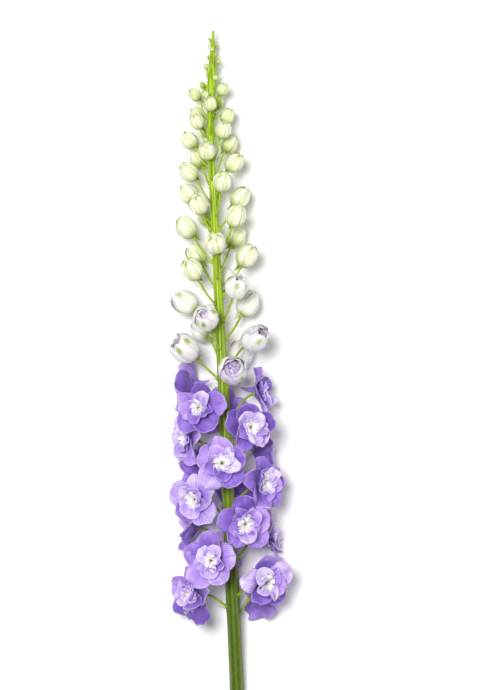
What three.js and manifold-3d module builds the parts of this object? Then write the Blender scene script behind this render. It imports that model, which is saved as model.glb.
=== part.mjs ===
// A cut delphinium flower spike, laid down on a flat surface.
//
// One stem carries, from the bottom up, open florets with a white bee in their middle, half-open
// flowers and buds, each on its own pedicel. The heads stand round the stem in a spiral, one golden
// angle apart. The spike rests on the cut end of its stem and on the flowers below it, whose sepals
// are pressed flat where they touch.
//
// Millimetres, +Z up, the stem along +Y with its tip at +Y. The origin is the middle of the
// footprint, on the surface that the spike lies on.

import * as THREE from "three";
import { mergeVertices } from "three/addons/utils/BufferGeometryUtils.js";
import Module from "manifold-3d";

const wasm = await Module();
wasm.setup();

const radians = THREE.MathUtils.degToRad;
const mix = THREE.MathUtils.lerp;

const stemLength = 620; // cut end to growing tip
const cutEndRadius = 6.2; // the stem at its cut end
const joinGap = 0.3; // left between a pedicel's foot and the stem
const slantShare = 0.9; // a slanting foot reaches this much of its radius towards the stem

const floretCount = 20;
const halfOpenCount = 10;
const budCount = 29;
const headCount = floretCount + halfOpenCount + budCount;

const firstFoot = 118; // how far up the stem the lowest pedicel stands
const footSpacing = 10.4; // between the lowest two pedicels
const footCrowding = 0.05; // how much closer they stand, for each head further up
const goldenAngle = radians(137.5);
const topFacingHead = 7; // this head looks up, turned by topFacingTurn
const topFacingTurn = radians(25);
const surfaceUp = new THREE.Vector3(0, 0, 1);
const unevenness = { turn: 0.1, lift: 1.5, facing: radians(11) }; // the most that a head is off its place

const sepalCount = 5;
const sepalRadius = 22; // from a floret's middle to the end of a sepal
const lobeDepth = 0.3; // how far the dish is notched between two sepals, as a share of its radius
const dishWave = 1.6; // how much higher the sepals' middles end than the notches between them
const beeRadius = 9;
const beeLobes = 4;
const beeLobeDepth = 0.25;
const spurLength = 13;
const spurOffset = 3.2; // from the floret's middle towards the spike's tip
const spurCurve = 0.028;
const halfOpenSpur = 0.55; // the size of a half-open flower's spur against a floret's
const pedicelBend = 0.4; // how far its ends run straight, as a share of its span
const pedicelSink = 0.5; // how far it reaches into a half-open flower or a bud

const pressStart = 10; // what is lower than this over the surface is pressed towards it
const floretSink = 6; // how far under the surface a floret would hang if it weren't pressed
const halfOpenSink = 1.5;
const settleReach = 5; // a floret that would end lower than this is settled on the surface

// Where the stem runs: along, sideways and up, at a few places from the cut end to the tip.
const stemPath = [
  { along: 0, side: 14.5, up: cutEndRadius },
  { along: 57, side: 12.7, up: 13.5 },
  { along: 130, side: 9.5, up: 27 },
  { along: 210, side: 6, up: 37 },
  { along: 300, side: 2, up: 39 },
  { along: 388, side: -2.5, up: 37 },
  { along: 469, side: -6.8, up: 32 },
  { along: 534, side: -10, up: 27 },
  { along: 575, side: -9, up: 22.5 },
  { along: stemLength, side: -7.5, up: 17 },
];

// How thick it is. It swells a little under the growing tip.
const stemGirth = [
  { along: 0, radius: cutEndRadius },
  { along: 120, radius: 6.0 },
  { along: 330, radius: 4.6 },
  { along: 470, radius: 3.3 },
  { along: 556, radius: 3.1 },
  { along: 574, radius: 4.1 },
  { along: 592, radius: 3.0 },
  { along: stemLength, radius: 1.1 },
];

// Each stage of a head, from its lowest to its highest on the stem.
// reach: the receptacle's distance from the stem's middle. lift: how far it is above the foot.
// facing: how far the head turns from straight out towards the tip, in degrees.
// pull: how much a head over the stem turns upwards, as a share of the way it faces; one beside the
// stem turns half as much, and one under it doesn't. stalk: its pedicel's radius.
const floretStage = {
  reach: [30, 28],
  lift: [15, 19],
  facing: [-4, 20],
  pull: [1.1, 1.0],
  size: [1, 0.92],
  stalk: [1.2, 1.1],
};
const halfOpenStage = {
  reach: [24, 21],
  lift: [20, 22],
  facing: [34, 48],
  pull: [0.7, 0.5],
  length: [27, 24],
  width: [24, 20],
  stalk: [1.1, 1],
};
const budStage = {
  reach: [21, 9],
  lift: [24, 14],
  facing: [50, 60],
  pull: [0.4, 0.3],
  length: [22, 11],
  width: [18, 9],
  stalk: [1, 0.7],
  crowding: 1.7, // the size falls off slowly at first, then quickly
};
const tipBuds = {
  count: 11,
  foot: [553, 607],
  reach: [8, 2.6],
  lift: [7, 5],
  facing: radians(62),
  pull: 0.25,
  length: [7, 2.6],
  width: [5.5, 2.2],
  stalk: [0.8, 0.5],
};

const stemGreen = new THREE.MeshStandardMaterial({ color: 0x8aa52a, roughness: 0.45, metalness: 0 });
const sepalLilac = new THREE.MeshStandardMaterial({ color: 0xb08fe0, roughness: 0.6, metalness: 0 });
const paleLilac = new THREE.MeshStandardMaterial({ color: 0xe2d8f0, roughness: 0.6, metalness: 0 });
const budCream = new THREE.MeshStandardMaterial({ color: 0xe9edc4, roughness: 0.55, metalness: 0 });

// A fixed, uneven number from -1 to 1 for a head, one for each use.
function wobble(head, use) {
  const value = Math.sin(head * 12.9898 + use * 78.233) * 43758.5453;
  return 2 * (value - Math.floor(value)) - 1;
}

function valueAlong(table, along, key) {
  const last = table.length - 1;
  const above = Math.max(1, table.findIndex((row, k) => k === last || row.along >= along));
  const [low, high] = [table[above - 1], table[above]];
  const share = THREE.MathUtils.smoothstep(along, low.along, high.along);
  return mix(low[key], high[key], share);
}

function solidOf(geometry) {
  const bare = geometry.clone();
  bare.deleteAttribute("normal");
  bare.deleteAttribute("uv");
  const merged = mergeVertices(bare, 1e-4);
  return new wasm.Manifold(
    new wasm.Mesh({
      numProp: 3,
      vertProperties: merged.attributes.position.array,
      triVerts: Uint32Array.from(merged.index.array),
    }),
  );
}

function geometryOf(solid) {
  const mesh = solid.getMesh();
  const geometry = new THREE.BufferGeometry();
  geometry.setAttribute("position", new THREE.BufferAttribute(mesh.vertProperties, 3));
  geometry.setIndex(new THREE.BufferAttribute(mesh.triVerts, 1));
  geometry.computeVertexNormals();
  return geometry;
}

function join(...geometries) {
  const solids = geometries.map(solidOf);
  return geometryOf(solids.reduce((whole, piece) => whole.add(piece)));
}

// A round rod of one thickness along a curve.
function rod(curve, radius, sides, steps) {
  const section = new THREE.Shape();
  for (let k = 0; k < sides; k += 1) {
    const turn = (k / sides) * 2 * Math.PI;
    const move = k ? "lineTo" : "moveTo";
    section[move](radius * Math.cos(turn), radius * Math.sin(turn));
  }
  return new THREE.ExtrudeGeometry(section, { extrudePath: curve, steps, bevelEnabled: false });
}

// A turned shape with its axis along +Z: profile is a list of [radius, height], from the bottom up.
function turned(profile, sides) {
  const points = profile.map(([radius, height]) => new THREE.Vector2(radius, height));
  return new THREE.LatheGeometry(points, sides).rotateX(Math.PI / 2);
}

// Moves each vertex of a geometry by a function of its place.
function reshape(geometry, move) {
  const places = geometry.attributes.position;
  const place = new THREE.Vector3();
  for (let k = 0; k < places.count; k += 1) {
    place.fromBufferAttribute(places, k);
    move(place);
    places.setXYZ(k, place.x, place.y, place.z);
  }
  return geometry;
}

const stemCurve = new THREE.CatmullRomCurve3(
  stemPath.map(({ along, side, up }) => new THREE.Vector3(side, along, up)),
);

// The stem's place, direction and cross-section axes at a distance from the cut end.
function stemAt(along) {
  const share = THREE.MathUtils.clamp(along / stemLength, 0, 1);
  const place = stemCurve.getPointAt(share);
  const forward = stemCurve.getTangentAt(share);
  const right = new THREE.Vector3(1, 0, 0).addScaledVector(forward, -forward.x).normalize();
  const up = new THREE.Vector3().crossVectors(right, forward);
  return { place, forward, right, up };
}

const stemRadius = (along) => valueAlong(stemGirth, along, "radius");
const footOf = (head) => firstFoot + footSpacing * head - footCrowding * head * head;

// A head's foot on the stem, its receptacle and the way it faces.
function standing(foot, turn, reach, lift, facing, pull, stalk) {
  const stem = stemAt(foot);
  const out = stem.up
    .clone()
    .multiplyScalar(Math.cos(turn))
    .addScaledVector(stem.right, Math.sin(turn));
  const footReach = stemRadius(foot) + joinGap + slantShare * stalk;
  const footPlace = stem.place.clone().addScaledVector(out, footReach);
  const base = stem.place.clone().addScaledVector(out, reach).addScaledVector(stem.forward, lift);
  const axis = out
    .clone()
    .multiplyScalar(Math.cos(facing))
    .addScaledVector(stem.forward, Math.sin(facing))
    .addScaledVector(surfaceUp, (pull * (1 + out.z)) / 2)
    .normalize();
  return { footPlace, base, axis, out, forward: stem.forward, stalk };
}

// The group that carries a head: its origin at the receptacle, +Z the way the flower faces,
// +Y towards the spike's tip.
function headGroup({ base, axis, forward }) {
  const top = forward.clone().addScaledVector(axis, -forward.dot(axis)).normalize();
  const side = new THREE.Vector3().crossVectors(top, axis);
  const group = new THREE.Group();
  group.quaternion.setFromRotationMatrix(new THREE.Matrix4().makeBasis(side, top, axis));
  group.position.copy(base);
  group.updateMatrixWorld(true);
  return group;
}

// The pedicel in its head's own frame: it leaves the stem outwards and up, and meets the head
// from behind.
function pedicel(place, group, sink) {
  const rise = place.out.clone().add(place.forward).normalize();
  const span = place.footPlace.distanceTo(place.base);
  const points = [
    place.footPlace,
    place.footPlace.clone().addScaledVector(rise, span * pedicelBend),
    place.base.clone().addScaledVector(place.axis, -span * pedicelBend),
    place.base.clone().addScaledVector(place.axis, sink),
  ].map((point) => group.worldToLocal(point.clone()));
  const sides = 6;
  const steps = 5;
  return rod(new THREE.CubicBezierCurve3(...points), place.stalk, sides, steps);
}

// The spread sepals of a floret: a shallow dish with a lobed edge.
function sepalDish(head, size) {
  const radius = sepalRadius * size;
  const profile = [
    [0, -2.4],
    [radius * 0.5, -0.4],
    [radius, 5.6],
    [radius * 0.96, 7.4],
    [radius * 0.6, 3.8],
    [radius * 0.28, 1.4],
    [0, 0.9],
  ];
  const roll = wobble(head, 5) * 0.5;
  return reshape(turned(profile, 20), (place) => {
    const out = Math.hypot(place.x, place.y) / radius;
    const turn = Math.atan2(place.y, place.x) - roll;
    const lobe = Math.sqrt(Math.abs(Math.cos((sepalCount / 2) * turn)));
    const shrink = 1 - lobeDepth * (1 - lobe) * out * out;
    place.x *= shrink;
    place.y *= shrink;
    place.z += dishWave * out * out * Math.cos(sepalCount * turn);
  });
}

// The hollow spur behind the uppermost sepal, closed at its end and curved towards the tip.
function spur(size) {
  const profile = [
    [0, -spurLength * size],
    [1.1 * size, -0.85 * spurLength * size],
    [2.4 * size, -0.4 * spurLength * size],
    [3.4 * size, 0],
    [0, 0.6],
  ];
  return reshape(turned(profile, 7), (place) => {
    place.y += spurOffset * size + spurCurve * place.z * place.z;
  });
}

// The white bee: small ruffled petals that stand in the middle of an open floret.
function bee(head, size) {
  const radius = beeRadius * size;
  const profile = [
    [0, -0.5],
    [radius * 0.3, 1.4],
    [radius * 0.8, 6.4],
    [radius, 8.4],
    [radius * 0.55, 7.4],
    [0, 4.2],
  ];
  return reshape(turned(profile, 10), (place) => {
    const turn = Math.atan2(place.y, place.x) - wobble(head, 6);
    const out = Math.hypot(place.x, place.y) / radius;
    const lobe = Math.abs(Math.cos((beeLobes / 2) * turn));
    const shrink = 1 - beeLobeDepth * out * (1 - lobe);
    place.x *= shrink;
    place.y *= shrink;
  });
}

// A half-open flower: plump sepals folded over each other, just parted at the top.
function tulip(length, width) {
  const half = width / 2;
  const profile = [
    [0, -0.4],
    [half * 0.66, length * 0.08],
    [half, length * 0.38],
    [half * 0.93, length * 0.68],
    [half * 0.56, length],
    [half * 0.3, length * 0.94],
    [0, length * 0.8],
  ];
  return turned(profile, 10);
}

// A closed bud, widest below its middle.
function egg(length, width, sides) {
  const half = width / 2;
  const profile = [
    [0, -0.3],
    [half * 0.66, length * 0.1],
    [half, length * 0.4],
    [half * 0.86, length * 0.7],
    [half * 0.42, length * 0.93],
    [0, length],
  ];
  return turned(profile, sides);
}

// Moves a head so that the lowest point of its flower ends just as far under the surface as it may
// sink. Its pedicel bends with it. A flower that ends higher than nearby is left where it is.
function settled(place, flower, sink, nearby) {
  const placed = flower.clone().applyMatrix4(headGroup(place).matrixWorld);
  placed.computeBoundingBox();
  const lowest = placed.boundingBox.min.z;
  if (lowest < nearby) place.base.z -= lowest + sink;
  return place;
}

// Presses what hangs low flat on the surface: pressStart stays, and -floretSink comes to 0.
function pressed(mesh) {
  const span = pressStart + floretSink;
  mesh.updateWorldMatrix(true, false);
  mesh.geometry.applyMatrix4(mesh.matrixWorld);
  reshape(mesh.geometry, (place) => {
    const height = Math.max(0, place.z + floretSink);
    const slope = 1 - (2 * floretSink) / span;
    if (height < span) place.z = (floretSink * height * height) / (span * span) + slope * height;
  });
  mesh.geometry.applyMatrix4(mesh.matrixWorld.clone().invert());
  mesh.geometry.computeVertexNormals();
  return mesh;
}

// The stem, with the smallest buds at its tip, which are still one with it.
function stemGeometry() {
  const sides = 12;
  const rings = 28;
  const profile = [[0, 0]];
  for (let k = 0; k <= rings; k += 1) profile.push([1, k / rings]);
  profile.push([0, 1]);
  const shaft = reshape(turned(profile, sides), (place) => {
    const along = place.z * stemLength;
    const stem = stemAt(along);
    const girth = stemRadius(along);
    place.copy(
      stem.place
        .addScaledVector(stem.up, place.x * girth)
        .addScaledVector(stem.right, place.y * girth),
    );
  });
  const pieces = [shaft];
  for (let k = 0; k < tipBuds.count; k += 1) {
    const share = k / (tipBuds.count - 1);
    const turn = topFacingTurn + (headCount + k - topFacingHead) * goldenAngle;
    const [foot, reach, lift] = ["foot", "reach", "lift"].map((key) => mix(...tipBuds[key], share));
    const place = standing(foot, turn, reach, lift, tipBuds.facing, tipBuds.pull, 0);
    const group = headGroup(place);
    const points = [stemAt(foot).place, place.base.clone().addScaledVector(place.axis, 1)];
    const stalk = rod(new THREE.LineCurve3(...points), mix(...tipBuds.stalk, share), 5, 1);
    const bud = egg(mix(...tipBuds.length, share), mix(...tipBuds.width, share), 6);
    pieces.push(stalk, bud.applyMatrix4(group.matrixWorld));
  }
  return join(...pieces);
}

const spike = new THREE.Group();
spike.name = "delphinium_spike";

const stem = new THREE.Mesh(stemGeometry(), stemGreen);
stem.name = "stem";
spike.add(stem);

const number = (k) => String(k + 1).padStart(2, "0");

function placeOf(head, stage, share) {
  const foot = footOf(head);
  const evenTurn = topFacingTurn + (head - topFacingHead) * goldenAngle;
  const turn = evenTurn + wobble(head, 1) * unevenness.turn;
  const reach = mix(...stage.reach, share);
  const lift = mix(...stage.lift, share) + wobble(head, 2) * unevenness.lift;
  const facing = radians(mix(...stage.facing, share)) + wobble(head, 3) * unevenness.facing;
  const pull = mix(...stage.pull, share);
  return standing(foot, turn, reach, lift, facing, pull, mix(...stage.stalk, share));
}

for (let k = 0; k < floretCount; k += 1) {
  const share = k / (floretCount - 1);
  const size = mix(...floretStage.size, share);
  const dish = sepalDish(k, size);
  const place = settled(placeOf(k, floretStage, share), dish, floretSink, settleReach);
  const group = headGroup(place);
  const whole = join(dish, bee(k, size), spur(size), pedicel(place, group, 0));
  const floret = new THREE.Mesh(whole, sepalLilac);
  floret.name = `floret_${number(k)}`;
  group.add(floret);
  spike.add(group);
  pressed(floret);
}

for (let k = 0; k < halfOpenCount; k += 1) {
  const share = k / (halfOpenCount - 1);
  const flower = tulip(mix(...halfOpenStage.length, share), mix(...halfOpenStage.width, share));
  const freely = placeOf(floretCount + k, halfOpenStage, share);
  const place = settled(freely, flower, halfOpenSink, -halfOpenSink);
  const group = headGroup(place);
  const whole = join(flower, spur(halfOpenSpur), pedicel(place, group, pedicelSink));
  const halfOpen = new THREE.Mesh(whole, paleLilac);
  halfOpen.name = `half_open_${number(k)}`;
  group.add(halfOpen);
  spike.add(group);
  pressed(halfOpen);
}

for (let k = 0; k < budCount; k += 1) {
  const share = k / (budCount - 1);
  const shrunk = Math.pow(share, budStage.crowding);
  const shell = egg(mix(...budStage.length, shrunk), mix(...budStage.width, shrunk), 8);
  const freely = placeOf(floretCount + halfOpenCount + k, budStage, share);
  const place = settled(freely, shell, -joinGap, joinGap);
  const group = headGroup(place);
  const bud = new THREE.Mesh(join(shell, pedicel(place, group, pedicelSink)), budCream);
  bud.name = `bud_${number(k)}`;
  group.add(bud);
  spike.add(group);
}

// The origin goes to the middle of the footprint, on the surface.
const extent = new THREE.Box3().setFromObject(spike, true);
const middle = extent.getCenter(new THREE.Vector3());
spike.position.set(-middle.x, -middle.y, -extent.min.z);

export default spike;
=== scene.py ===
# A cut delphinium spike lying on a pale table: a ribbed green stem, ruffled lilac florets with
# white bees in them, half-open flowers above and closed buds up to the tip.
import bisect
import math
import random

import bmesh
import bpy
from mathutils import Matrix, Vector, noise


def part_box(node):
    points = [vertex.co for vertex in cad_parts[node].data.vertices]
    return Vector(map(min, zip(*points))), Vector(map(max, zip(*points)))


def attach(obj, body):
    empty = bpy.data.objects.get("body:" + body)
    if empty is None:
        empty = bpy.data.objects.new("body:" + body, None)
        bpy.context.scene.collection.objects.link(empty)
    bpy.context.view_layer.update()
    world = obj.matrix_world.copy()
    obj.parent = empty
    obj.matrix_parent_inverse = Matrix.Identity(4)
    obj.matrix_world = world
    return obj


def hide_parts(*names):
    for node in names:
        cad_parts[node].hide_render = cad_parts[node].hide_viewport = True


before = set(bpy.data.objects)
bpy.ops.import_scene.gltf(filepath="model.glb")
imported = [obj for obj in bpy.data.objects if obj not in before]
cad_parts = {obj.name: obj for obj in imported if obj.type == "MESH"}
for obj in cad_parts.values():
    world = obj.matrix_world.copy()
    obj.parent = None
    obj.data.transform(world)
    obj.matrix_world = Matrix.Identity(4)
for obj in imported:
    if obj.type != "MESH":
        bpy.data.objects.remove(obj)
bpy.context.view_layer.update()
mm = 0.001  # everything below is worked out in millimetres and scaled at the end

# the growth rule, the same one as the solids follow
growth = {
    "floretCount": 20,
    "halfOpenCount": 10,
    "budCount": 29,
    "firstFoot": 118,
    "footSpacing": 10.4,
    "footCrowding": 0.05,
    "goldenAngle": math.radians(137.5),
    "topFacingHead": 7,
    "topFacingTurn": math.radians(25),
    "joinGap": 0.3,
    "pressStart": 10,
    "pressedFilm": 0.12,
    "floretSink": 6,
    "halfOpenSink": 1.5,
    "settleReach": 5,
    "cutSlice": 2.5,
}
sheet = {"sepal": 0.34, "bee": 0.28, "bud": 0.26}  # how thick each kind of tissue is
streakLength = 28
stalkBlotch = 14
headCount = growth["floretCount"] + growth["halfOpenCount"] + growth["budCount"]
unevenness = {"turn": 0.1, "lift": 1.5, "facing": math.radians(11)}

# along, sideways and up, from the cut end to the tip
stemPath = [
    (0, 14.5, 6.2), (57, 12.7, 13.5), (130, 9.5, 27), (210, 6, 37), (300, 2, 39),
    (388, -2.5, 37), (469, -6.8, 32), (534, -10, 27), (575, -9, 22.5), (620, -7.5, 17),
]
stemLength = stemPath[-1][0]
# along and radius
stemGirth = [
    (0, 6.2), (120, 6.0), (330, 4.6), (470, 3.3), (556, 3.1), (574, 4.1), (592, 3.0), (620, 1.1),
]
# each pair runs from the lowest head of its stage to the highest
floretStage = {
    "reach": (30, 28), "lift": (15, 19), "facing": (-4, 20), "pull": (1.1, 1.0),
    "size": (1, 0.92), "stalk": (1.2, 1.1), "bract": (9, 7), "spurLength": 13, "spurWidth": 3.2,
}
halfOpenStage = {
    "reach": (24, 21), "lift": (20, 22), "facing": (34, 48), "pull": (0.7, 0.5),
    "length": (27, 24), "width": (24, 20), "stalk": (1.1, 1),
    "bract": 7, "spurLength": 8.5, "spurWidth": 2.3,
}
budStage = {
    "reach": (21, 9), "lift": (24, 14), "facing": (50, 60), "pull": (0.4, 0.3),
    "length": (22, 11), "width": (18, 9), "stalk": (1, 0.7), "crowding": 1.7,
    "bract": (7, 8), "spurLength": (6.5, 2.5), "spurWidth": (2.0, 1.1),
}
tipStage = {
    "count": 11, "foot": (553, 607), "reach": (8, 2.6), "lift": (7, 5),
    "facing": math.radians(62), "pull": 0.25,
    "length": (7, 2.6), "width": (5.5, 2.2), "stalk": (0.8, 0.5), "bract": (7, 4),
}


def mix(pair, share):
    return pair[0] + (pair[1] - pair[0]) * share


def smooth(low, high, value):
    t = min(1.0, max(0.0, (value - low) / (high - low)))
    return t * t * (3 - 2 * t)


# a fixed, uneven number from -1 to 1 for a head, one for each use
def wobble(head, use):
    value = math.sin(head * 12.9898 + use * 78.233) * 43758.5453
    return 2 * (value - math.floor(value)) - 1


# the stem's middle, sampled along a smooth curve through the path's places
def sampleStem(perSpan=40):
    spots = [Vector((side, along, up)) for along, side, up in stemPath]
    line = []
    for k in range(len(spots) - 1):
        before, low, high, after = (spots[min(max(k + j, 0), len(spots) - 1)] for j in (-1, 0, 1, 2))
        span = high.y - low.y
        lowSlope = (high - before) * (span / (high.y - before.y))
        highSlope = (after - low) * (span / (after.y - low.y))
        for j in range(perSpan):
            t = j / perSpan
            line.append(
                low * (2 * t ** 3 - 3 * t * t + 1) + lowSlope * (t ** 3 - 2 * t * t + t)
                + high * (3 * t * t - 2 * t ** 3) + highSlope * (t ** 3 - t * t)
            )
    line.append(spots[-1])
    reach = [0.0]
    for a, b in zip(line, line[1:]):
        reach.append(reach[-1] + (b - a).length)
    return line, reach


stemLine, stemReach = sampleStem()


def stemAt(along):
    goal = min(max(along / stemLength, 0), 1) * stemReach[-1]
    k = min(max(bisect.bisect_right(stemReach, goal) - 1, 0), len(stemLine) - 2)
    t = (goal - stemReach[k]) / (stemReach[k + 1] - stemReach[k])
    place = stemLine[k].lerp(stemLine[k + 1], t)
    forward = (stemLine[k + 1] - stemLine[k]).normalized()
    right = (Vector((1, 0, 0)) - forward * forward.x).normalized()
    return place, forward, right, right.cross(forward)


def stemRadius(along):
    k = next((j for j in range(1, len(stemGirth)) if stemGirth[j][0] >= along), len(stemGirth) - 1)
    low, high = stemGirth[k - 1], stemGirth[k]
    return low[1] + (high[1] - low[1]) * smooth(low[0], high[0], along)


# the cut end's middle in the frame tells how far the whole spike was moved
def frameShift():
    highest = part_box("stem")[0].y + growth["cutSlice"] * mm
    ring = [v.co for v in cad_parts["stem"].data.vertices if v.co.y < highest]
    middle = sum(ring, Vector()) / len(ring)
    return middle / mm - Vector((stemPath[0][1], stemPath[0][0], stemPath[0][2]))


shift = frameShift()
print("the frame's shift in mm:", [round(x, 2) for x in shift])


# where a head stands: its foot on the stem, its receptacle and the way it faces; pull turns one that
# is over the stem upwards, one beside it half as much, and one under it not at all
def standing(foot, turn, reach, lift, facing, pull, stalk):
    place, forward, right, up = stemAt(foot)
    out = up * math.cos(turn) + right * math.sin(turn)
    axis = out * math.cos(facing) + forward * math.sin(facing) + Vector((0, 0, pull * (1 + out.z) / 2))
    return {
        "foot": place + out * (stemRadius(foot) + growth["joinGap"]),
        "base": place + out * reach + forward * lift,
        "axis": axis.normalized(),
        "out": out,
        "forward": forward,
        "stalk": stalk,
    }


def placeOf(head, stage, share):
    foot = growth["firstFoot"] + growth["footSpacing"] * head - growth["footCrowding"] * head * head
    turn = growth["topFacingTurn"] + (head - growth["topFacingHead"]) * growth["goldenAngle"]
    return standing(
        foot,
        turn + wobble(head, 1) * unevenness["turn"],
        mix(stage["reach"], share),
        mix(stage["lift"], share) + wobble(head, 2) * unevenness["lift"],
        math.radians(mix(stage["facing"], share)) + wobble(head, 3) * unevenness["facing"],
        mix(stage["pull"], share),
        mix(stage["stalk"], share),
    )


# a head's own frame: +Z the way the flower faces, +Y towards the tip of the spike
def headMatrix(place):
    axis = place["axis"]
    top = (place["forward"] - axis * place["forward"].dot(axis)).normalized()
    turned = Matrix((top.cross(axis), top, axis)).transposed().to_4x4()
    return Matrix.Translation(place["base"]) @ turned


# what hangs low is pressed flat on the table: pressStart stays, and -floretSink comes to the table
def pressedHeight(z):
    start, sink, film = growth["pressStart"], growth["floretSink"], growth["pressedFilm"]
    span = start + sink
    if z >= start:
        return z
    height = z + sink
    slope = 1 - 2 * sink / span
    if height < 0:
        return film * math.exp(height)
    return max(sink * height * height / (span * span) + slope * height, film * math.exp(-height))


# the marks that the materials read: how far along and across a sepal, its own tone and its spot
markNames = ("along", "across", "tone", "spot")


def newMesh():
    bm = bmesh.new()
    marks = {name: bm.verts.layers.float.new(name) for name in markNames}
    return bm, marks


# adds a mesh that was made on its own to another, and frees it
def pour(part, bm):
    carrier = bpy.data.meshes.new("carrier")
    part.to_mesh(carrier)
    part.free()
    bm.from_mesh(carrier)
    bpy.data.meshes.remove(carrier)


# the line of a sepal's middle in its own plane, (out from the axis, up it, lean), from its leans
def midrib(length, leans, start, steps=28):
    out, up = start
    line = []
    for k in range(steps + 1):
        v = k / steps
        spot = v * (len(leans) - 1)
        j = min(int(spot), len(leans) - 2)
        lean = math.radians(leans[j] + (leans[j + 1] - leans[j]) * smooth(0, 1, spot - j))
        line.append((out, up, lean))
        out += math.sin(lean) * length / steps
        up += math.cos(lean) * length / steps
    return line


def alongLine(line, v):
    spot = min(max(v, 0), 1) * (len(line) - 1)
    k = min(int(spot), len(line) - 2)
    t = spot - k
    return [a + (b - a) * t for a, b in zip(line[k], line[k + 1])]


# one sepal or petal: a grid bent along its midrib and wrapped round the flower's axis. Its end is
# an ellipse from its broadest place on, so that the grid's last row follows a round edge.
def addSepal(bm, marks, spec, turn, rand, tone=0.0, spot=0.0):
    made = bmesh.ops.create_grid(bm, x_segments=spec["cells"][0], y_segments=spec["cells"][1], size=1.0)
    length = spec["length"] * (1 + rand.uniform(-1, 1) * spec["unevenSize"])
    halfWidth = spec["width"] / 2 * (1 + rand.uniform(-1, 1) * spec["unevenSize"])
    leans = [lean + rand.uniform(-1, 1) * spec["unevenLean"] * k / 3 for k, lean in enumerate(spec["leans"])]
    line = midrib(length, leans, spec["start"])
    cup = rand.uniform(*spec["cup"])
    twist = rand.uniform(-1, 1) * spec["twist"] + spec["tilt"]
    phase = rand.uniform(0, math.tau)
    seed = Vector((rand.uniform(0, 50), rand.uniform(0, 50), 0))
    broadest, blunt = spec["broadest"], spec["blunt"]
    for vert in made["verts"]:
        u = vert.co.x
        v = (vert.co.y + 1) / 2
        side = abs(u)
        if v < broadest:
            girth = spec["claw"] + (1 - spec["claw"]) * math.sin(math.pi / 2 * v / broadest) ** 1.1
            reach = v
        else:
            t = (v - broadest) / (1 - broadest)
            girth = math.sqrt(1 - (t * blunt) ** 2)
            reach = broadest + (1 - broadest) * t * math.sqrt(1 - u * u * (1 - blunt * blunt))
        ragged = spec["notch"] * math.exp(-((u / 0.2) ** 2)) + spec["teeth"] * (1 + math.sin(11 * u + phase))
        reach *= 1 + (0.012 * math.sin(7 * u + phase) - ragged) * v ** 3
        out, up, lean = alongLine(line, reach)
        across = u * halfWidth * girth
        lift = cup * side ** 2 * smooth(0.05, 0.7, v) + spec["crease"] * math.exp(-((u / 0.16) ** 2)) * v
        lift += twist * u * (0.3 + 0.7 * v)
        lift += spec["ruffle"] * side ** 1.6 * v ** 1.5 * math.sin(spec["waves"] * v + phase + 1.7 * u)
        lift += spec["ruffle"] * 0.6 * v ** 3 * math.sin(4.2 * u + 2 * phase)
        lift += spec["uneven"] * v * noise.noise(Vector((u * 1.1, v * 1.6, 0)) + seed)
        out -= math.cos(lean) * lift
        up += math.sin(lean) * lift
        around = across / max(abs(out), 0.35 * spec["width"])
        wrapped = Vector((abs(out) * math.sin(around), abs(out) * math.cos(around), up))
        vert.co = Matrix.Rotation(-turn, 3, "Z") @ Vector((across, out, up)).lerp(wrapped, spec["wrap"])
        vert[marks["along"]] = v
        vert[marks["across"]] = u
        vert[marks["tone"]] = tone
        vert[marks["spot"]] = spot


# gives the sheets made so far their thickness
def thicken(bm, thickness):
    bm.normal_update()
    copied = bmesh.ops.extrude_face_region(bm, geom=bm.faces[:] + bm.edges[:] + bm.verts[:])
    for vert in copied["geom"]:
        if isinstance(vert, bmesh.types.BMVert):
            vert.co += vert.normal * thickness


# a round stalk along a list of places, with its radius from a function of the share of its length
def addStalk(bm, places, radiusAt, sides, cuts, sideways, slot, tone=0.0, along=(0.0, 1.0), across=0.0):
    tube, marks = newMesh()
    bmesh.ops.create_cone(tube, cap_ends=True, cap_tris=False, segments=sides, radius1=1, radius2=1, depth=1)
    upright = [edge for edge in tube.edges if abs(edge.verts[0].co.z - edge.verts[1].co.z) > 0.5]
    bmesh.ops.subdivide_edges(tube, edges=upright, cuts=cuts)
    for vert in tube.verts:
        share = vert.co.z + 0.5
        spot = share * (len(places) - 1)
        k = min(int(spot + 1e-4), len(places) - 2)
        ahead = (places[k + 1] - places[k]).normalized()
        if 0 < k and spot - k < 0.02:
            ahead = (places[k + 1] - places[k - 1]).normalized()
        left = sideways.cross(ahead).normalized()
        other = ahead.cross(left)
        radius = radiusAt(share)
        middle = places[k].lerp(places[k + 1], spot - k)
        vert.co = middle + left * vert.co.x * radius + other * vert.co.y * radius
        vert[marks["along"]] = mix(along, share)
        vert[marks["across"]] = across
        vert[marks["tone"]] = tone
    for face in tube.faces:
        face.material_index = slot
    pour(tube, bm)


def bezier(points, steps):
    a, b, c, d = points
    spots = []
    for k in range(steps + 1):
        t = k / steps
        s = 1 - t
        spots.append(a * s ** 3 + b * (3 * s * s * t) + c * (3 * s * t * t) + d * t ** 3)
    return spots


# a slim leaf-like scale: a ball drawn out and bent
def addScale(bm, marks, root, ahead, outward, length, width, slot):
    made = bmesh.ops.create_uvsphere(bm, u_segments=8, v_segments=7, radius=1)
    side = ahead.cross(outward).normalized()
    normal = side.cross(ahead).normalized()
    for vert in made["verts"]:
        t = (vert.co.z + 1) / 2
        slim = 1 - 0.45 * t
        spot = root + ahead * length * t + normal * (0.18 * length * t * t)
        spot += side * vert.co.x * width / 2 * slim + normal * vert.co.y * 0.35 * slim
        vert.co = spot
        vert[marks["along"]] = t
        vert[marks["across"]] = 0
        vert[marks["tone"]] = 0.3
    for face in {face for vert in made["verts"] for face in vert.link_faces}:
        face.material_index = slot


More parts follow.
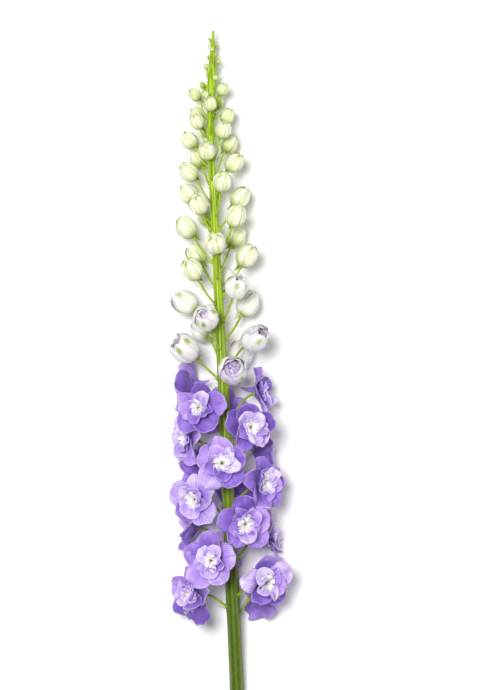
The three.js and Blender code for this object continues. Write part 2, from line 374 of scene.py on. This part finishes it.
# the pedicel, with its bract at the foot and two small bracteoles on it, in the spike's frame
def addPedicel(bm, marks, place, sink, slot, bract=8.0):
    rise = (place["out"] + place["forward"]).normalized()
    span = (place["foot"] - place["base"]).length
    inside = place["foot"] - place["out"] * 1.2
    places = bezier(
        [
            inside,
            place["foot"] + rise * span * 0.4,
            place["base"] - place["axis"] * span * 0.4,
            place["base"] + place["axis"] * sink,
        ],
        16,
    )
    sideways = place["out"].cross(place["forward"]).normalized()
    stalk = place["stalk"]

    def radiusAt(share):
        return stalk * (0.92 + 0.5 * (1 - smooth(0, 0.12, share)) + 0.75 * smooth(0.86, 1, share))

    addStalk(bm, places, radiusAt, 10, 15, sideways, slot)
    down = -place["forward"]
    foot = place["foot"] + down * stalk * 1.6 - place["out"] * 0.8
    addScale(bm, marks, foot, (rise * 1.4 + place["out"] * 0.5).normalized(), -rise, bract, 1.5, slot)
    for hand, share in ((1, 0.55), (-1, 0.63)):
        spot = share * (len(places) - 1)
        root = places[int(spot)]
        ahead = (places[int(spot) + 1] - root).normalized()
        outward = sideways * hand
        lean = (ahead + outward * 0.45).normalized()
        addScale(bm, marks, root + outward * stalk * 0.6, lean, outward, bract * 0.55, 1.0, slot)


# the spur behind the uppermost sepal
def addSpur(bm, length, width, slot, tone, along=(0.35, 0.95)):
    places = []
    for k in range(13):
        back = k / 12 * (length + 1.2)
        places.append(Vector((0, width + 0.2 + 0.028 * back * back, 1.2 - back)))

    def radiusAt(share):
        return width * ((1 - share) ** 0.75 * 0.86 + 0.14) * (1 - 0.35 * smooth(0.93, 1, share))

    addStalk(bm, places, radiusAt, 12, 11, Vector((1, 0, 0)), slot, tone, along, across=0.6)


# moves a mesh out of the head's frame into the spike's, presses it and makes the object
def finishPiece(bm, name, materials, node, matrix=None):
    if matrix is not None:
        bm.transform(matrix)
    for vert in bm.verts:
        vert.co.z = pressedHeight(vert.co.z)
        vert.co = (vert.co + shift) * mm
    mesh = bpy.data.meshes.new(name)
    bm.to_mesh(mesh)
    bm.free()
    for material in materials:
        mesh.materials.append(material)
    mesh.shade_smooth()
    piece = bpy.data.objects.new(name, mesh)
    bpy.context.scene.collection.objects.link(piece)
    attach(piece, "root")
    if node:
        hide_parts(node)
    return piece


# moves a head so that the lowest point of its flower ends just as far under the table as it may sink
def settled(place, bm, sink, nearby):
    matrix = headMatrix(place)
    lowest = min((matrix @ vert.co).z for vert in bm.verts)
    if lowest < nearby:
        place["base"].z -= lowest + sink
    return place


# an sRGB hex value as linear red, green, blue and alpha
def colour(value):
    parts = [int(value[k:k + 2], 16) / 255 for k in (1, 3, 5)]
    return (*[c / 12.92 if c <= 0.04045 else ((c + 0.055) / 1.055) ** 2.4 for c in parts], 1.0)


# adds a node, sets what is named as a property or an input, and links what is a socket
def addNode(tree, kind, inputs=None, **settings):
    made = tree.nodes.new(kind)
    for name, value in settings.items():
        setattr(made, name, value)
    for key, value in (inputs or {}).items():
        if isinstance(value, bpy.types.NodeSocket):
            tree.links.new(value, made.inputs[key])
        else:
            made.inputs[key].default_value = value
    return made


def newMaterial(name):
    material = bpy.data.materials.new(name)
    material.use_nodes = True
    tree = material.node_tree
    tree.nodes.clear()
    output = tree.nodes.new("ShaderNodeOutputMaterial")
    return material, tree, output


def fillRamp(ramp, stops):
    for k, (at, value) in enumerate(stops):
        element = ramp.elements[k] if k < 2 else ramp.elements.new(at)
        element.position = at
        element.color = colour(value)


def calculated(tree, operation, a, b=0.0, c=0.0):
    return addNode(tree, "ShaderNodeMath", {0: a, 1: b, 2: c}, operation=operation).outputs[0]


# where a value is between two limits, as a share of top
def ranged(tree, value, low, high, top=1.0, shape="SMOOTHSTEP"):
    inputs = {"Value": value, "From Min": low, "From Max": high, "To Max": top}
    return addNode(tree, "ShaderNodeMapRange", inputs, interpolation_type=shape).outputs[0]


def blended(tree, share, under, over):
    inputs = {"Factor": share, 6: under, 7: colour(over)}
    return addNode(tree, "ShaderNodeMix", inputs, data_type="RGBA").outputs[2]


def clouded(tree, place, scale, detail=3.0):
    inputs = {"Vector": place, "Scale": scale, "Detail": detail}
    return addNode(tree, "ShaderNodeTexNoise", inputs).outputs["Fac"]


# thin living tissue, matt and a little see-through, coloured by where it is on its sepal
def sepalSkin(name, look):
    material, tree, output = newMaterial(name)
    mark = {m: addNode(tree, "ShaderNodeAttribute", attribute_name=m).outputs["Fac"] for m in markNames}
    spots = addNode(tree, "ShaderNodeTexCoord").outputs["Object"]
    side = calculated(tree, "ABSOLUTE", mark["across"])
    blotches = clouded(tree, spots, 1 / (look["cloudMm"] * mm))

    # each sepal's own tone, clouded, and deeper towards its claw
    cloudy = calculated(tree, "MULTIPLY_ADD", blotches, look["cloud"], -look["cloud"] / 2)
    # on the lilac sepals this deepening towards the claw is partly their own colour and partly painted shade
    # in the flower's throat
    deeper = calculated(tree, "MULTIPLY_ADD", mark["along"], -look["paling"], look["paling"] / 2)
    depth = calculated(tree, "ADD", calculated(tree, "ADD", mark["tone"], cloudy), deeper)
    body = addNode(tree, "ShaderNodeValToRGB", {"Fac": depth})
    fillRamp(body.color_ramp, look["tones"])
    nearClaw = ranged(tree, mark["along"], look["clawTo"], 0.0)
    skin = blended(tree, nearClaw, body.outputs["Color"], look["claw"])

    # veins fan out from the claw, with the midrib among them
    ownVeins = calculated(tree, "MULTIPLY", mark["tone"], 9.0)
    spread = {"X": mark["across"], "Y": mark["along"], "Z": ownVeins}
    fan = addNode(tree, "ShaderNodeCombineXYZ", spread).outputs[0]
    bands = addNode(
        tree, "ShaderNodeTexWave",
        {"Vector": fan, "Scale": look["veins"] / math.tau, "Distortion": 2.2, "Detail": 2.0,
         "Detail Scale": 1.5},
        bands_direction="X",
    ).outputs["Fac"]
    veins = ranged(tree, bands, 0.6, 1.0, look["veinShare"])
    skin = blended(tree, veins, skin, look["vein"])
    nearMiddle = ranged(tree, side, look["midribWidth"], 0.0, look["midribShare"])
    skin = blended(tree, nearMiddle, skin, look["midrib"])

    # the rim, at the sides and over the end
    edge = calculated(tree, "MAXIMUM", side, mark["along"])
    skin = blended(tree, ranged(tree, edge, look["rimFrom"], 1.0, look["rimShare"]), skin, look["rim"])

    # the green spot under the end of a sepal, in millimetres from its middle
    acrossMm = calculated(tree, "MULTIPLY", mark["across"], look["halfWidthMm"])
    spotPlace = -look["spotAt"] * look["lengthMm"]
    alongMm = calculated(tree, "MULTIPLY_ADD", mark["along"], look["lengthMm"], spotPlace)
    squares = [calculated(tree, "POWER", value, 2.0) for value in (acrossMm, alongMm)]
    away = calculated(tree, "SQRT", calculated(tree, "ADD", *squares))
    ragged = calculated(tree, "MULTIPLY_ADD", blotches, 1.6, -0.8)
    inSpot = ranged(tree, calculated(tree, "ADD", away, ragged), look["spotMm"], look["spotMm"] * 0.15)
    skin = blended(tree, calculated(tree, "MULTIPLY", inSpot, mark["spot"]), skin, look["spot"])

    # crinkles about a millimetre and a half across, and the veins as fine furrows
    crinkle = clouded(tree, spots, 1 / (1.6 * mm))
    height = calculated(tree, "MULTIPLY_ADD", veins, -0.9, crinkle)
    relief = {"Height": height, "Strength": 0.4, "Distance": 0.25 * mm}
    bump = addNode(tree, "ShaderNodeBump", relief).outputs[0]
    shader = addNode(
        tree, "ShaderNodeBsdfPrincipled",
        {"Base Color": skin, "Roughness": look["roughness"], "Normal": bump, "IOR": 1.4,
         "Subsurface Weight": look["glow"], "Subsurface Scale": 1.0 * mm,
         "Subsurface Radius": (1.2, 0.9, 1.3),
         "Sheen Weight": look["sheen"], "Sheen Roughness": 0.5},
    )
    tree.links.new(shader.outputs[0], output.inputs["Surface"])
    return material


# lilac sepals of an open floret: deep violet to pale, with darker veins and a faint pale rim
lilacSepal = sepalSkin("Lilac sepal", {
    "tones": [(0.0, "#e6d8fa"), (1.0, "#553a8c"), (0.28, "#bd9bec"), (0.62, "#8a69c8")],
    # the deeper violet towards the claw is partly the sepals' own colour and partly painted shade in the
    # flower's throat
    "cloud": 0.65, "cloudMm": 10, "paling": 0.4, "claw": "#c0add6", "clawTo": 0.14,
    "vein": "#64449c", "veinShare": 0.45, "veins": 13,
    "midrib": "#7351ad", "midribWidth": 0.07, "midribShare": 0.4,
    "rim": "#dfcdf8", "rimFrom": 0.94, "rimShare": 0.32,
    "spot": "#c0c498", "spotAt": 0.84, "spotMm": 2.2, "halfWidthMm": 11, "lengthMm": 22,
    "roughness": 0.5, "glow": 0.22, "sheen": 0.12,
})
# half-open flowers: waxy cream white, with green spots, grey veins and a breath of lilac
paleSepal = sepalSkin("Pale opening sepal", {
    "tones": [(0.0, "#f7f5e9"), (1.0, "#9a7fd0"), (0.35, "#ebe4ee"), (0.7, "#c5aee4")],
    "cloud": 0.5, "cloudMm": 9, "paling": -0.15, "claw": "#94ab3c", "clawTo": 0.32,
    "vein": "#aaa6b2", "veinShare": 0.34, "veins": 11,
    "midrib": "#c6cf92", "midribWidth": 0.26, "midribShare": 0.4,
    "rim": "#b4a8c6", "rimFrom": 0.94, "rimShare": 0.5,
    "spot": "#8ea633", "spotAt": 0.79, "spotMm": 4.6, "halfWidthMm": 11, "lengthMm": 29,
    "roughness": 0.42, "glow": 0.2, "sheen": 0.08,
})
# closed buds: waxy cream, yellow-green at the seams, the midribs, the base and the tip
budSkin = sepalSkin("Cream bud skin", {
    "tones": [(0.0, "#f8f5df"), (1.0, "#7f9a20"), (0.35, "#e9edbc"), (0.7, "#b6c85c")],
    "cloud": 0.4, "cloudMm": 7, "paling": 0.45, "claw": "#688413", "clawTo": 0.5,
    "vein": "#c2cd84", "veinShare": 0.3, "veins": 7,
    "midrib": "#b3c75a", "midribWidth": 0.34, "midribShare": 0.45,
    "rim": "#86a02b", "rimFrom": 0.88, "rimShare": 0.6,
    "spot": "#87a22c", "spotAt": 0.92, "spotMm": 3.6, "halfWidthMm": 8, "lengthMm": 26,
    "roughness": 0.38, "glow": 0.15, "sheen": 0.06,
})
# the bee's small petals: white, beige-green where they are narrow
beePetal = sepalSkin("White bee petal", {
    "tones": [(0.0, "#f6f3f0"), (1.0, "#b799d6"), (0.4, "#eee7ee"), (0.7, "#d6c6e4")],
    "cloud": 0.4, "cloudMm": 4, "paling": 0.2, "claw": "#a0946c", "clawTo": 0.45,
    "vein": "#b9abb9", "veinShare": 0.45, "veins": 6,
    "midrib": "#e6dcc4", "midribWidth": 0.2, "midribShare": 0.4,
    "rim": "#fbf9f7", "rimFrom": 0.8, "rimShare": 0.7,
    "spot": "#ffffff", "spotAt": 0.9, "spotMm": 2.0, "halfWidthMm": 5, "lengthMm": 12,
    "roughness": 0.5, "glow": 0.2, "sheen": 0.12,
})


# green stalk tissue: lighter on its streaks, with painted highlight on the crests of its ribs and painted
# shade in the furrows between them, yellower towards the spike's tip
def stalkSkin(name, look):
    material, tree, output = newMaterial(name)
    spots = addNode(tree, "ShaderNodeTexCoord").outputs["Object"]
    ribs = addNode(tree, "ShaderNodeAttribute", attribute_name="across").outputs["Fac"]
    parts = addNode(tree, "ShaderNodeSeparateXYZ", {0: spots})
    half = stemLength / 2 * mm
    way = ranged(tree, parts.outputs["Y"], -half, half, shape="LINEAR")
    body = addNode(tree, "ShaderNodeValToRGB", {"Fac": way})
    fillRamp(body.color_ramp, look["ramp"])
    thin, long = 1 / (look["streakMm"] * mm), 1 / (streakLength * mm)
    stretch = {"Vector": spots, "Scale": (thin, long, thin)}
    streaks = clouded(tree, addNode(tree, "ShaderNodeMapping", stretch).outputs[0], 1.0)
    blotches = clouded(tree, spots, 1 / (stalkBlotch * mm), 4.0)
    # painted highlight on the rib crests and painted shade in the furrows, as a brightness that follows the
    # ribs
    ribbed = calculated(tree, "MULTIPLY_ADD", ribs, look["ribHighlightShare"], 1.0 - look["streakShare"] / 2)
    bright = calculated(tree, "MULTIPLY_ADD", streaks, look["streakShare"], ribbed)
    shaded = ranged(tree, blotches, 0.5, 0.8, 0.6, shape="LINEAR")
    skin = blended(tree, shaded, body.outputs["Color"], look["shade"])
    skin = addNode(tree, "ShaderNodeHueSaturation", {"Color": skin, "Value": bright}).outputs[0]
    relief = {"Height": streaks, "Strength": 0.4, "Distance": 0.2 * mm}
    bump = addNode(tree, "ShaderNodeBump", relief).outputs[0]
    shader = addNode(
        tree, "ShaderNodeBsdfPrincipled",
        {"Base Color": skin, "Roughness": look["roughness"], "Normal": bump, "IOR": 1.42,
         "Subsurface Weight": 0.1, "Subsurface Scale": 1.0 * mm, "Subsurface Radius": (0.8, 1.2, 0.4)},
    )
    tree.links.new(shader.outputs[0], output.inputs["Surface"])
    return material


# the stem: firm and slightly waxy, dark olive low down and yellow-green at the top
stemSkin = stalkSkin("Waxy green stem", {
    "ramp": [(0.0, "#506417"), (1.0, "#a6c41c"), (0.22, "#576c18"), (0.45, "#748e1b"), (0.7, "#9bb81b")],
    # the stem's ribs get painted highlight on their crests and painted shade in their furrows
    "ribHighlightShare": 0.3, "streakShare": 1.3, "shade": "#55690f", "streakMm": 1.1, "roughness": 0.34,
})
# the pedicels and their bracts: thinner, fresher green
pedicelSkin = stalkSkin("Fresh green pedicel", {
    "ramp": [(0.0, "#7b9622"), (1.0, "#a6c41d"), (0.5, "#8fab20")],
    "ribHighlightShare": 0.0, "streakShare": 1.1, "shade": "#5f7a14", "streakMm": 0.8, "roughness": 0.4,
})
# the cut face: pale, wet pith inside a green ring
cutFace = stalkSkin("Cut pale pith", {
    "ramp": [(0.0, "#cfd6a0"), (1.0, "#cfd6a0")],
    "ribHighlightShare": 0.0, "streakShare": 0.5, "shade": "#a9b76a", "streakMm": 0.7, "roughness": 0.3,
})
# anthers: dusty, a light olive-beige
antherSkin = stalkSkin("Dusty olive anther", {
    "ramp": [(0.0, "#8b8355"), (1.0, "#958c5b")],
    "ribHighlightShare": 0.0, "streakShare": 0.8, "shade": "#6b6440", "streakMm": 0.5, "roughness": 0.8,
})

stemLook = {
    "sides": 48, "cuts": 190, "ribs": 8, "ribDepth": 0.09, "ribDrift": 0.004, "swell": 0.04, "rind": 0.12,
}


def buildStem():
    bm, marks = newMesh()
    bmesh.ops.create_cone(
        bm, cap_ends=True, cap_tris=False, segments=stemLook["sides"], radius1=1, radius2=1, depth=1
    )
    upright = [e for e in bm.edges if abs(e.verts[0].co.z - e.verts[1].co.z) > 0.5]
    bmesh.ops.subdivide_edges(bm, edges=upright, cuts=stemLook["cuts"])
    cut = [face for face in bm.faces if all(v.co.z < -0.499 for v in face.verts)]
    bmesh.ops.inset_region(bm, faces=cut, thickness=stemLook["rind"], use_even_offset=True)
    for face in cut:
        face.material_index = 1
    for vert in bm.verts:
        along = (vert.co.z + 0.5) * stemLength
        place, forward, right, up = stemAt(along)
        angle = math.atan2(vert.co.y, vert.co.x)
        rib = math.cos(stemLook["ribs"] * angle + along * stemLook["ribDrift"])
        swell = 1 + stemLook["swell"] * noise.noise(Vector((math.cos(angle), math.sin(angle), along / 25)))
        radius = stemRadius(along) * (1 - stemLook["ribDepth"] * (0.5 - 0.5 * rib)) * swell
        vert.co = place + up * vert.co.x * radius + right * vert.co.y * radius
        vert[marks["across"]] = rib
    bmesh.ops.recalc_face_normals(bm, faces=bm.faces[:])
    return finishPiece(bm, "stem_skin", [stemSkin, cutFace], "stem")


buildStem()
print("stem done")

outerSepal = {
    "cells": (12, 15), "length": 25.5, "width": 23.5, "leans": (48, 70, 84, 92), "start": (0.8, -1.6),
    "claw": 0.26, "broadest": 0.6, "blunt": 0.74, "notch": 0.0, "teeth": 0.0,
    "cup": (-2.0, 6.0), "crease": -0.9, "tilt": 1.2, "twist": 2.8, "ruffle": 1.4, "waves": 6.5, "uneven": 5.4,
    "unevenLean": 21, "unevenSize": 0.12, "wrap": 0.4,
}
innerSepal = {
    **outerSepal, "cells": (11, 13), "length": 19.5, "width": 18, "leans": (28, 48, 66, 78),
    "start": (0.6, 0.2),
    "cup": (0.5, 6.0), "unevenLean": 24, "wrap": 0.5,
}
# the smallest sepals stand round the bee, half turned towards it
palestSepal = {
    **outerSepal, "cells": (8, 10), "length": 14, "width": 10.5, "leans": (16, 34, 54, 66),
    "start": (0.9, 0.8),
    "cup": (0.3, 2.2), "uneven": 2.2, "ruffle": 0.8, "unevenLean": 15, "wrap": 0.6, "tilt": 0.7,
}
beeSpec = {
    "cells": (10, 10), "length": 14, "width": 10, "leans": (4, 10, 34, 76, 96), "start": (1.0, 1.0),
    "claw": 0.34, "broadest": 0.68, "blunt": 0.9, "notch": 0.32, "teeth": 0.11,
    "cup": (-1.8, 0.6), "crease": 0.3, "tilt": 0.4, "twist": 1.2, "ruffle": 1.2, "waves": 8.0, "uneven": 2.2,
    "unevenLean": 16, "unevenSize": 0.12, "wrap": 0.5,
}
stamens = {"count": 8, "thread": 0.22, "height": 5.4, "anther": (0.5, 0.9)}


grownWith = ("length", "width", "crease", "ruffle", "uneven", "tilt", "twist")


# a sepal's settings for a flower of another size
def scaled(spec, size, **changes):
    longer = {key: spec[key] * size for key in grownWith}
    return {**spec, **longer, "cup": tuple(end * size for end in spec["cup"]), **changes}


# a ring of sepals; spotted is the share of them that have a green spot
def addWhorl(bm, marks, spec, count, turn, rand, tones, spotted=0.0):
    for k in range(count):
        angle = turn + k * math.tau / count + rand.uniform(-0.12, 0.12)
        spot = rand.uniform(0.5, 1.0) if rand.random() < spotted else 0.0
        addSepal(bm, marks, spec, angle, rand, rand.uniform(*tones), spot)


def addStamens(bm, marks):
    for k in range(stamens["count"]):
        angle = k * growth["goldenAngle"]
        out = Vector((math.sin(angle), math.cos(angle), 0))
        ring = 0.4 + 0.2 * k
        top = out * ring * 1.3 + Vector((0, 0, stamens["height"] - 0.3 * k))
        places = [out * ring * 0.5 + Vector((0, 0, 1.0)), out * ring + Vector((0, 0, 3.6)), top]
        addStalk(bm, places, lambda share: stamens["thread"], 5, 1, out.cross(Vector((0, 0, 1))), 0, 0.2)
        ball = bmesh.ops.create_icosphere(bm, subdivisions=2, radius=1)
        thick, tall = stamens["anther"]
        for vert in ball["verts"]:
            vert.co = top + Vector((vert.co.x * thick, vert.co.y * thick, vert.co.z * tall))
        for face in {face for vert in ball["verts"] for face in vert.link_faces}:
            face.material_index = 1


for k in range(growth["floretCount"]):
    share = k / (growth["floretCount"] - 1)
    rand = random.Random(500 + k)
    size = mix(floretStage["size"], share)
    name = f"floret_{k + 1:02d}"
    bm, marks = newMesh()
    depth = 0.14 * wobble(k, 8)  # some florets are deeper than others
    shut = 10 + 10 * wobble(k, 12)  # and some less open, by this many degrees at a sepal's end
    for spec, turn, tones in ((outerSepal, 0, (0.25, 0.85)), (innerSepal, math.pi / 5, (0.08, 0.66))):
        leans = [lean - shut * j / 2 for j, lean in enumerate(spec["leans"])]
        tones = (tones[0] + depth, tones[1] + depth)
        addWhorl(bm, marks, scaled(spec, size, leans=leans), 5, turn, rand, tones, 0.25)
    place = settled(placeOf(k, floretStage, share), bm, growth["floretSink"], growth["settleReach"])
    addWhorl(bm, marks, scaled(palestSepal, size), 5, 0.2, rand, (0.0, 0.35))
    thicken(bm, sheet["sepal"])
    addSpur(bm, floretStage["spurLength"] * size, floretStage["spurWidth"] * size, 0, 0.6)
    bm.transform(headMatrix(place))
    addPedicel(bm, marks, place, 0.0, 1, bract=mix(floretStage["bract"], share))
    finishPiece(bm, name + "_sepals", [lilacSepal, pedicelSkin], name)

    bm, marks = newMesh()
    addWhorl(bm, marks, scaled(beeSpec, size), 5, math.pi / 4, rand, (0.0, 0.35))
    addWhorl(bm, marks, scaled(beeSpec, size * 0.74, leans=(2, 8, 24, 56, 80)), 4, 0.6, rand, (0.0, 0.3))
    thicken(bm, sheet["bee"])
    addStamens(bm, marks)
    finishPiece(bm, name + "_bee", [beePetal, antherSkin], None, headMatrix(place))
print("open florets done")

halfOpenSepal = {
    "cells": (12, 16), "leans": (84, 42, 12, -10, -38, -78), "start": (1.2, -0.5),
    "claw": 0.46, "broadest": 0.52, "blunt": 0.84, "notch": 0.0, "teeth": 0.0,
    "cup": (0.0, 0.8), "crease": -0.3, "tilt": 0.9, "twist": 0.3, "ruffle": 0.35, "waves": 5.0, "uneven": 1.1,
    "unevenLean": 6, "unevenSize": 0.05, "wrap": 1.0,
}
opening = (0, 3, 7, 12, 24, 44)  # what a flower that is almost open adds to each lean, in degrees
# each ring's length and width, and the heart's, as shares of the flower's
outerShare, innerShare, innermostShare, heartShare = (1.2, 0.98), (1.1, 0.8), (1.03, 0.66), (0.7, 0.5)


# the plump heart that fills a flower or bud which hasn't opened
def addCore(bm, marks, length, width, tone):
    core = bmesh.ops.create_uvsphere(bm, u_segments=12, v_segments=10, radius=1)
    for vert in core["verts"]:
        t = (vert.co.z + 1) / 2
        vert.co = Vector((vert.co.x * width / 2, vert.co.y * width / 2, t * length))
        vert[marks["along"]] = 0.2 + 0.6 * t
        vert[marks["across"]] = 0.7
        vert[marks["tone"]] = tone


def sizedBy(shares, length, width):
    return {"length": length * shares[0], "width": width * shares[1]}


for k in range(growth["halfOpenCount"]):
    share = k / (growth["halfOpenCount"] - 1)
    rand = random.Random(700 + k)
    length, width = mix(halfOpenStage["length"], share), mix(halfOpenStage["width"], share)
    opened = max(0.0, 0.8 - 1.1 * share + 0.25 * wobble(k, 9))
    leans = [lean + more * opened for lean, more in zip(halfOpenSepal["leans"], opening)]
    innerLeans = [lean - 0.4 * more * opened for lean, more in zip(leans, opening)]
    outer = {**halfOpenSepal, **sizedBy(outerShare, length, width), "leans": leans}
    inner = {**outer, **sizedBy(innerShare, length, width), "start": (0.8, 0.3), "leans": innerLeans}
    inner.update(uneven=1.6, ruffle=0.8)
    lilac = mix((0.5, 0.08), share)
    bm, marks = newMesh()
    addWhorl(bm, marks, outer, 5, 0, rand, (0.0, lilac), 1.0)
    addWhorl(bm, marks, inner, 5, math.pi / 5, rand, (0.0, lilac + 0.15), 0.6)
    place = placeOf(growth["floretCount"] + k, halfOpenStage, share)
    place = settled(place, bm, growth["halfOpenSink"], -growth["halfOpenSink"])
    innermost = {**inner, **sizedBy(innermostShare, length, width), "leans": halfOpenSepal["leans"]}
    innermost.update(cells=(9, 12), tilt=1.6)
    addWhorl(bm, marks, innermost, 5, 0.3, rand, (0.05, lilac + 0.25))
    thicken(bm, sheet["sepal"])
    addCore(bm, marks, length * heartShare[0], width * heartShare[1], lilac + 0.1)
    addSpur(bm, halfOpenStage["spurLength"], halfOpenStage["spurWidth"], 0, 0.3, along=(0.04, 0.2))
    bm.transform(headMatrix(place))
    addPedicel(bm, marks, place, 0.6, 1, bract=halfOpenStage["bract"])
    name = f"half_open_{k + 1:02d}"
    finishPiece(bm, name + "_flower", [paleSepal, pedicelSkin], name)
print("half-open flowers done")

budSepal = {
    "cells": (9, 13), "leans": (86, 40, 12, -12, -40, -80), "start": (0.5, -0.2),
    "claw": 0.5, "broadest": 0.45, "blunt": 0.95, "notch": 0.0, "teeth": 0.0,
    "cup": (0.0, 0.0), "crease": 0.28, "tilt": 0.4, "twist": 0.1, "ruffle": 0.1, "waves": 4.0, "uneven": 0.5,
    "unevenLean": 3, "unevenSize": 0.03, "wrap": 1.0,
}


# five sepals folded over each other round a plump core
def addBud(bm, marks, length, width, rand, tone, cells=(9, 13)):
    outline = 1.3 * length
    small = width / 14  # the creases and the overlaps are drawn for a bud this wide
    spec = {**budSepal, "cells": cells, "length": outline, "width": width * 0.84}
    spec.update({key: spec[key] * small for key in ("crease", "tilt", "uneven", "ruffle")})
    line = midrib(outline, spec["leans"], spec["start"])
    fit = width / 2 / max(out for out, up, lean in line)
    leans = [lean * (0.5 + 0.5 * fit) if lean > 50 else lean for lean in spec["leans"]]
    addWhorl(bm, marks, {**spec, "leans": leans}, 5, 0.3, rand, (tone - 0.08, tone + 0.12), 0.8)
    thicken(bm, sheet["bud"])


for k in range(growth["budCount"]):
    share = k / (growth["budCount"] - 1)
    shrunk = share ** budStage["crowding"]
    rand = random.Random(900 + k)
    length, width = mix(budStage["length"], shrunk), mix(budStage["width"], shrunk)
    bm, marks = newMesh()
    tone = mix((0.06, 0.42), shrunk)
    addBud(bm, marks, length, width, rand, tone)
    place = placeOf(growth["floretCount"] + growth["halfOpenCount"] + k, budStage, share)
    place = settled(place, bm, -growth["joinGap"], growth["joinGap"])
    addCore(bm, marks, length * 0.95, width * 0.84, tone + 0.25)
    spurLength, spurWidth = mix(budStage["spurLength"], share), mix(budStage["spurWidth"], share)
    addSpur(bm, spurLength, spurWidth, 0, 0.6, along=(0.04, 0.2))
    bm.transform(headMatrix(place))
    addPedicel(bm, marks, place, 0.5, 1, bract=mix(budStage["bract"], share))
    name = f"bud_{k + 1:02d}"
    finishPiece(bm, name + "_skin", [budSkin, pedicelSkin], name)
print("buds done")

# the smallest buds, their bracts and the last green leaflets round the growing tip
tuft = {"leaflets": 22, "foot": (528, 614), "length": (12, 7), "width": (2.4, 1.6), "lean": (1.3, 0.55)}
bm, marks = newMesh()
for k in range(tipStage["count"]):
    share = k / (tipStage["count"] - 1)
    rand = random.Random(1100 + k)
    turn = growth["topFacingTurn"] + (headCount + k - growth["topFacingHead"]) * growth["goldenAngle"]
    reach, lift = mix(tipStage["reach"], share), mix(tipStage["lift"], share)
    foot, stalk = mix(tipStage["foot"], share), mix(tipStage["stalk"], share)
    place = standing(foot, turn, reach, lift, tipStage["facing"], tipStage["pull"], stalk)
    small, smallMarks = newMesh()
    length, width = mix(tipStage["length"], share), mix(tipStage["width"], share)
    addBud(small, smallMarks, length, width, rand, 0.6, cells=(5, 8))
    addCore(small, smallMarks, length * 0.95, width * 0.84, 0.8)
    small.transform(headMatrix(place))
    pour(small, bm)
    addPedicel(bm, marks, place, 0.3, 1, bract=mix(tipStage["bract"], share))
for k in range(tuft["leaflets"]):
    share = k / (tuft["leaflets"] - 1)
    foot, forward, right, up = stemAt(mix(tuft["foot"], share))
    turn = k * growth["goldenAngle"]
    out = up * math.cos(turn) + right * math.sin(turn)
    ahead = (forward + out * mix(tuft["lean"], share)).normalized()
    root = foot + out * stemRadius(mix(tuft["foot"], share)) * 0.8
    long = mix(tuft["length"], share) * (1 + 0.25 * wobble(k, 10))
    addScale(bm, marks, root, ahead, out, long, mix(tuft["width"], share), 1)
finishPiece(bm, "tip_buds", [budSkin, pedicelSkin], None)
print("tip done")


# a matt white table top, with a barely uneven tint
def tableTop():
    material, tree, output = newMaterial("Matt white table")
    spots = addNode(tree, "ShaderNodeTexCoord").outputs["Object"]
    tint = blended(tree, clouded(tree, spots, 2.0, 2.0), colour("#fafafa"), "#fcfcfb")
    shader = addNode(tree, "ShaderNodeBsdfPrincipled", {"Base Color": tint, "Roughness": 0.9})
    tree.links.new(shader.outputs[0], output.inputs["Surface"])
    return material


bm = bmesh.new()
bmesh.ops.create_grid(bm, x_segments=1, y_segments=1, size=12.0)
tableMesh = bpy.data.meshes.new("table")
bm.to_mesh(tableMesh)
bm.free()
table = bpy.data.objects.new("table", tableMesh)
table.location.z = -0.4 * mm
bpy.context.scene.collection.objects.link(table)
tableMesh.materials.append(tableTop())

lighting = {
    "sky": 0.3,
    "aim": (0, 0.05, 0.03),  # near the middle of the spike
    "lamps": [  # place, watts and size
        ((-0.32, 0.3, 2.0), 40, 0.6),
        ((1.2, -0.3, 1.3), 5, 1.2),
    ],
}
world = bpy.data.worlds.new("studio")
bpy.context.scene.world = world
world.use_nodes = True
world.node_tree.nodes["Background"].inputs["Color"].default_value = (1, 1, 1, 1)
world.node_tree.nodes["Background"].inputs["Strength"].default_value = lighting["sky"]
for k, (spot, watts, size) in enumerate(lighting["lamps"]):
    lamp = bpy.data.lights.new(f"softbox_{k + 1}", "AREA")
    lamp.energy = watts
    lamp.shape = "DISK"
    lamp.size = size
    holder = bpy.data.objects.new(lamp.name, lamp)
    holder.location = spot
    holder.rotation_euler = (Vector(lighting["aim"]) - Vector(spot)).to_track_quat("-Z", "Y").to_euler()
    bpy.context.scene.collection.objects.link(holder)

view = {
    "distance": 1900,  # above the stem, in mm
    "stemHeight": 35,
    "seenLength": 586.5,  # of the spike's length, from the top of the view to its foot
    "aboveTip": 23.8,
    "rightOfTip": 27.2,
}
tip = stemLine[-1] + shift
camera = bpy.data.cameras.new("camera")
camera.sensor_width = 36
camera.lens = camera.sensor_width * view["distance"] / view["seenLength"]
camera.clip_end = 50
cameraHolder = bpy.data.objects.new("camera", camera)
cameraHolder.location = Vector((
    tip.x + view["rightOfTip"],
    tip.y + view["aboveTip"] - view["seenLength"] / 2,
    view["stemHeight"] + view["distance"],
)) * mm
bpy.context.scene.collection.objects.link(cameraHolder)
bpy.context.scene.camera = cameraHolder
bpy.context.scene.view_settings.view_transform = "Standard"

print("table, light and camera done")
